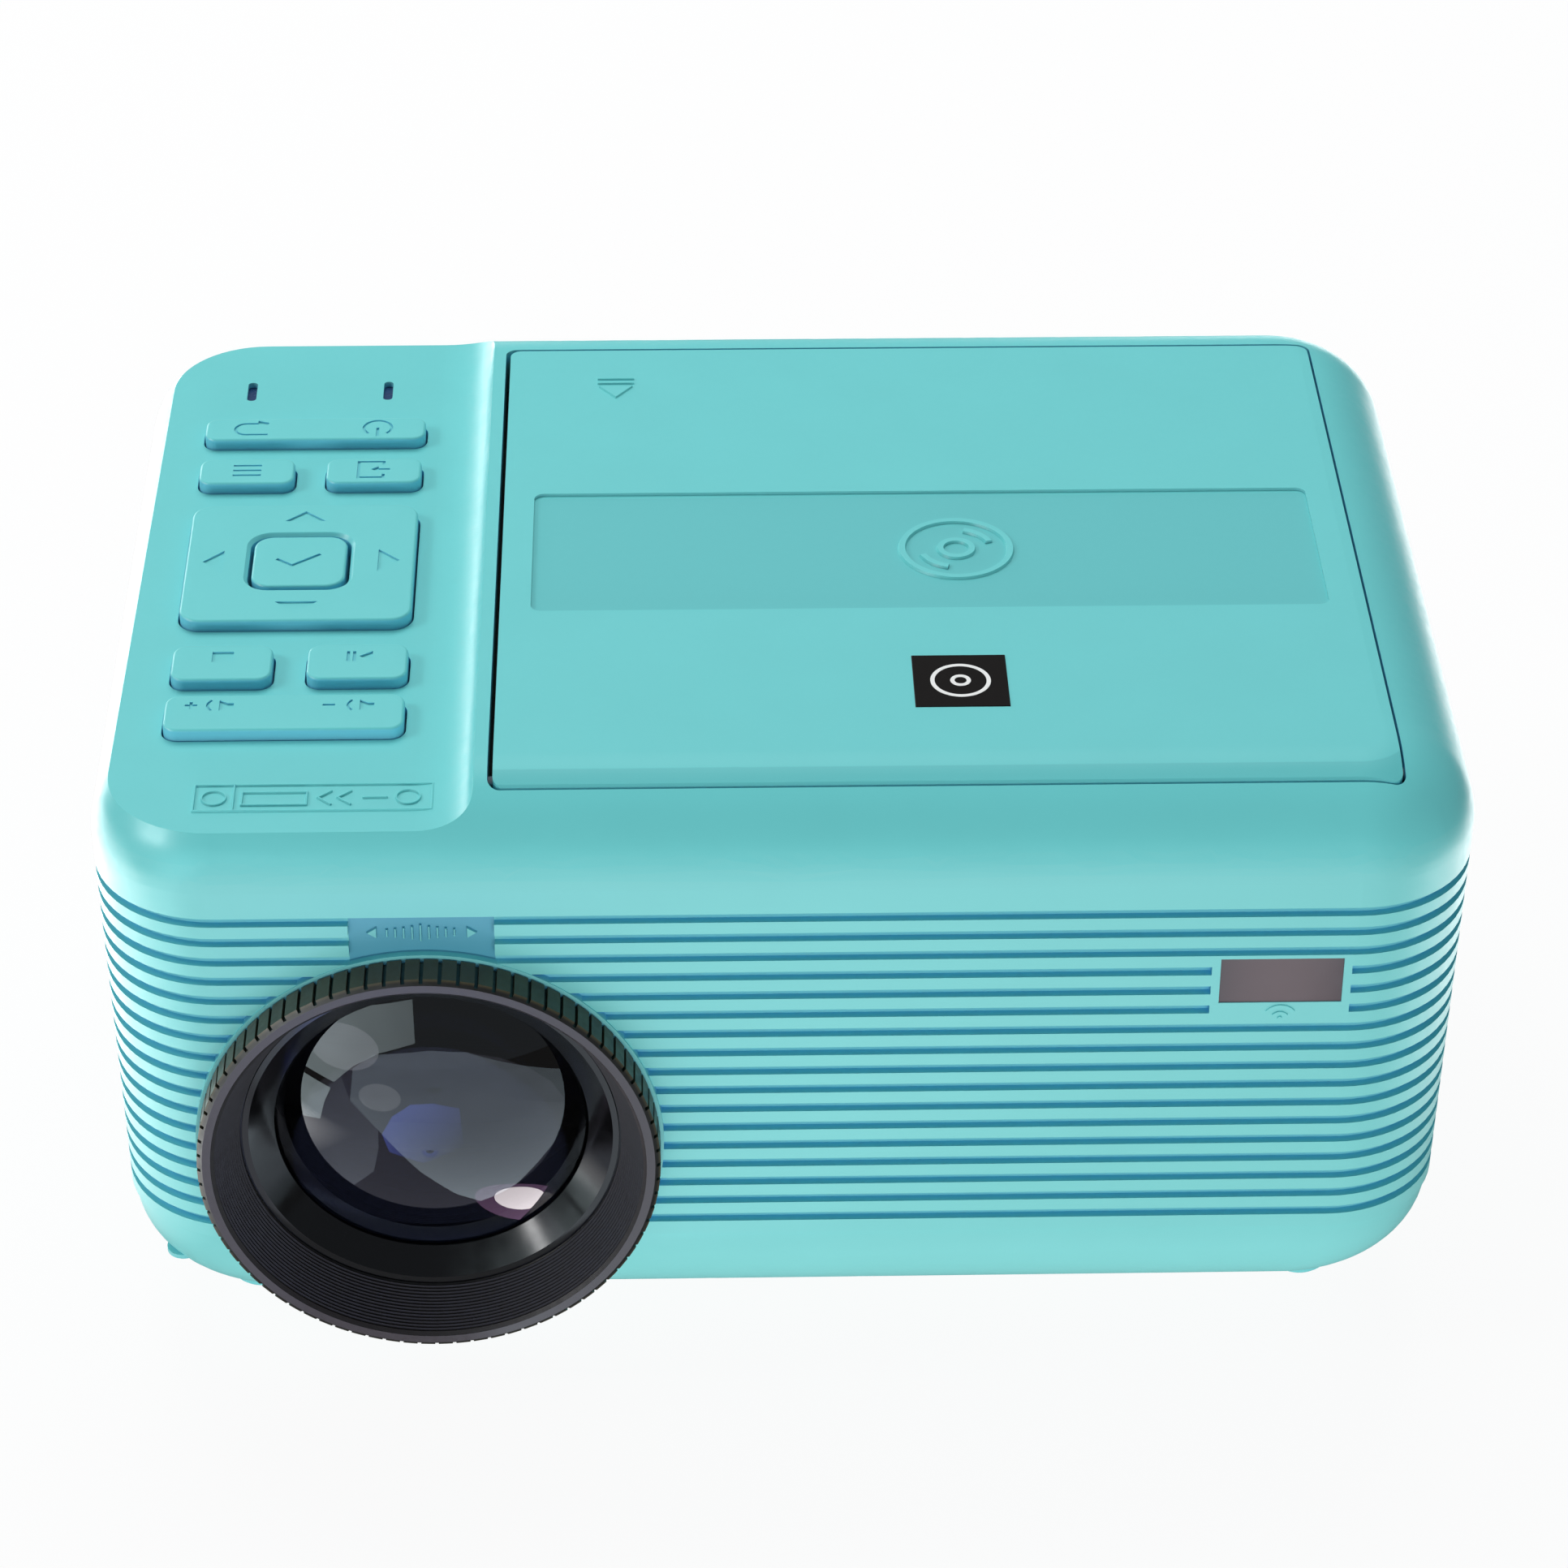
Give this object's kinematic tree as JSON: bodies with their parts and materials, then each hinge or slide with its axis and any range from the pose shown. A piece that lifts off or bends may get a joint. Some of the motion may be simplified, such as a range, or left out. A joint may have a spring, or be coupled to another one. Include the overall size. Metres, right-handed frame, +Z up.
{
  "type": "projector with disc player",
  "caption": "Compact desktop video projector with a ribbed body, a knurled focus ring low on the left of the front, and a top-loading disc player under a flat hinged lid.",
  "frame": {"origin": "centre of the plan outline, focus ring included, at the level the feet stand on", "axes": "+Z up from the feet; +X towards the disc lid side, along the longest side; -Y is where the lens points, +Y the side with the sockets"},
  "size_m": [0.1994, 0.1512, 0.1],
  "materials": {
    "shell_plastic": "satin turquoise moulding",
    "lid_plastic": "satin turquoise moulding, the same as the shell",
    "key_plastic": "satin turquoise key caps",
    "foot_rubber": "soft turquoise feet",
    "deck_plastic": "fine-grained black",
    "hub_plastic": "black disc hub",
    "black_plastic": "plain black",
    "barrel_plastic": "dark grey lens barrel",
    "ring_plastic": "satin black with fine flutes",
    "gloss_black": "polished black",
    "coated_lens": "glass with a violet-blue coating",
    "clear_lens": "clear optical glass",
    "lcd_glass": "dark picture panel",
    "pipe_plastic": "clear light pipe",
    "ir_plastic": "dark smoked window",
    "screw_steel": "zinc-plated steel",
    "spring_steel": "bright spring steel",
    "motor_steel": "plain bright steel",
    "chassis_sheet": "folded zinc-coated sheet",
    "socket_metal": "nickel-plated sheet",
    "sled_casting": "die-cast sled",
    "sink_aluminium": "extruded, bare",
    "insert_brass": "turned brass",
    "grommet_rubber": "soft black",
    "board_green": "green circuit board",
    "speaker_paper": "black cone and steel basket"
  },
  "bodies": {
    "chassis": {"top_cover": "shell_plastic", "ribbed_housing": "shell_plastic", "bottom_cover": "shell_plastic", "feet": "foot_rubber", "base_screws": "screw_steel", "tripod_insert": "insert_brass", "lid_hinge_pins": "screw_steel", "latch_clip": "spring_steel", "disc_deck": "deck_plastic", "mech_chassis": "chassis_sheet", "mech_grommets": "grommet_rubber", "small_screws": "screw_steel", "spindle_motor": "motor_steel", "sled_rods": "motor_steel", "sled_motor": "motor_steel", "guide_tube": "black_plastic", "optical_box": "black_plastic", "field_lens": "clear_lens", "lcd_panel": "lcd_glass", "fresnel_lens": "clear_lens", "condenser_lens": "clear_lens", "led_module": "board_green", "heat_sink": "sink_aluminium", "fan_frame": "black_plastic", "key_membrane": "grommet_rubber", "key_board": "board_green", "light_pipes": "pipe_plastic", "main_board": "board_green", "power_board": "board_green", "speakers": "speaker_paper", "io_plate": "black_plastic", "hdmi_socket": "socket_metal", "usb_socket": "socket_metal", "audio_jacks": "gloss_black", "power_inlet": "gloss_black", "ir_window": "ir_plastic", "ir_receiver": "board_green"},
    "lid": {"disc_lid": "lid_plastic"},
    "turntable": {"turntable": "hub_plastic", "turntable_pad": "grommet_rubber"},
    "sled": {"pickup_sled": "sled_casting", "objective_lens": "clear_lens"},
    "lead_screw": {"lead_screw": "motor_steel"},
    "focus_ring": {"focus_ring": "ring_plastic"},
    "barrel": {"lens_barrel": "barrel_plastic", "follower_pins": "insert_brass", "lens_bezel": "gloss_black", "front_lens": "coated_lens", "rear_lens": "clear_lens"},
    "fan_rotor": {"fan_rotor": "black_plastic"},
    "power_key": {"power_key": "key_plastic"},
    "volume_key": {"volume_key": "key_plastic"},
    "menu_key": {"menu_key": "key_plastic"},
    "source_key": {"source_key": "key_plastic"},
    "stop_key": {"stop_key": "key_plastic"},
    "play_key": {"play_key": "key_plastic"},
    "ok_key": {"ok_key": "key_plastic"},
    "dpad_pivot": {"dpad_pivot": "black_plastic"},
    "dpad_plate": {"dpad_plate": "key_plastic"}
  },
  "joints": [
    {"name": "lid_hinge", "type": "hinge", "parent": "chassis", "child": "lid", "pos_m": [0.02295, -0.059, 0.097], "axis": [1, 0, 0], "range_deg": [0, 70]},
    {"name": "turntable_spin", "type": "hinge", "parent": "chassis", "child": "turntable", "pos_m": [0.02295, -0.00015, 0.09], "axis": [0, 0, 1], "continuous": true},
    {"name": "sled_slide", "type": "slide", "parent": "chassis", "child": "sled", "axis": [1, 0, 0], "range_m": [0, 0.033]},
    {"name": "lead_screw_turn", "type": "hinge", "parent": "chassis", "child": "lead_screw", "pos_m": [0.05, -0.02865, 0.083], "axis": [1, 0, 0], "range_deg": [0, 3970]},
    {"name": "focus_turn", "type": "hinge", "parent": "chassis", "child": "focus_ring", "pos_m": [-0.0521, -0.07, 0.04066], "axis": [0, 1, 0], "range_deg": [-45.1, 45.1]},
    {"name": "barrel_slide", "type": "slide", "parent": "chassis", "child": "barrel", "axis": [0, 1, 0], "range_m": [-0.0025, 0.0025]},
    {"name": "fan_spin", "type": "hinge", "parent": "chassis", "child": "fan_rotor", "pos_m": [-0.0521, 0.062, 0.04066], "axis": [0, 1, 0], "continuous": true},
    {"name": "menu_press", "type": "slide", "parent": "chassis", "child": "menu_key", "axis": [0, 0.0101, -0.9999], "range_m": [0, 0.0008], "stiffness_N_per_m": 400},
    {"name": "source_press", "type": "slide", "parent": "chassis", "child": "source_key", "axis": [0, 0.0101, -0.9999], "range_m": [0, 0.0008], "stiffness_N_per_m": 400},
    {"name": "stop_press", "type": "slide", "parent": "chassis", "child": "stop_key", "axis": [0, 0.0101, -0.9999], "range_m": [0, 0.0008], "stiffness_N_per_m": 400},
    {"name": "play_press", "type": "slide", "parent": "chassis", "child": "play_key", "axis": [0, 0.0101, -0.9999], "range_m": [0, 0.0008], "stiffness_N_per_m": 400},
    {"name": "ok_press", "type": "slide", "parent": "chassis", "child": "ok_key", "axis": [0, 0.0101, -0.9999], "range_m": [0, 0.0008], "stiffness_N_per_m": 400},
    {"name": "power_rock", "type": "hinge", "parent": "chassis", "child": "power_key", "pos_m": [-0.0722, 0.04187, 0.0888], "axis": [0, 0.9999, 0.0101], "range_deg": [-1.5, 1.5], "stiffness_Nm_per_rad": 0.4},
    {"name": "volume_rock", "type": "hinge", "parent": "chassis", "child": "volume_key", "pos_m": [-0.0724, -0.03933, 0.08798], "axis": [0, 0.9999, 0.0101], "range_deg": [-1.5, 1.5], "stiffness_Nm_per_rad": 0.4},
    {"name": "dpad_tilt_y", "type": "hinge", "parent": "chassis", "child": "dpad_pivot", "pos_m": [-0.07235, 0.00191, 0.08959], "axis": [1, 0, 0], "range_deg": [-1.5, 1.5], "stiffness_Nm_per_rad": 0.5},
    {"name": "dpad_tilt_x", "type": "hinge", "parent": "dpad_pivot", "child": "dpad_plate", "pos_m": [-0.07235, 0.00191, 0.08959], "axis": [0, 0.9999, 0.0101], "range_deg": [-1.5, 1.5], "stiffness_Nm_per_rad": 0.5}
  ],
  "couplings": [
    {"joint": "lead_screw_turn", "follows": "sled_slide", "rad_per_m": 2094.4},
    {"joint": "focus_turn", "follows": "barrel_slide", "rad_per_m": 314.16}
  ]
}
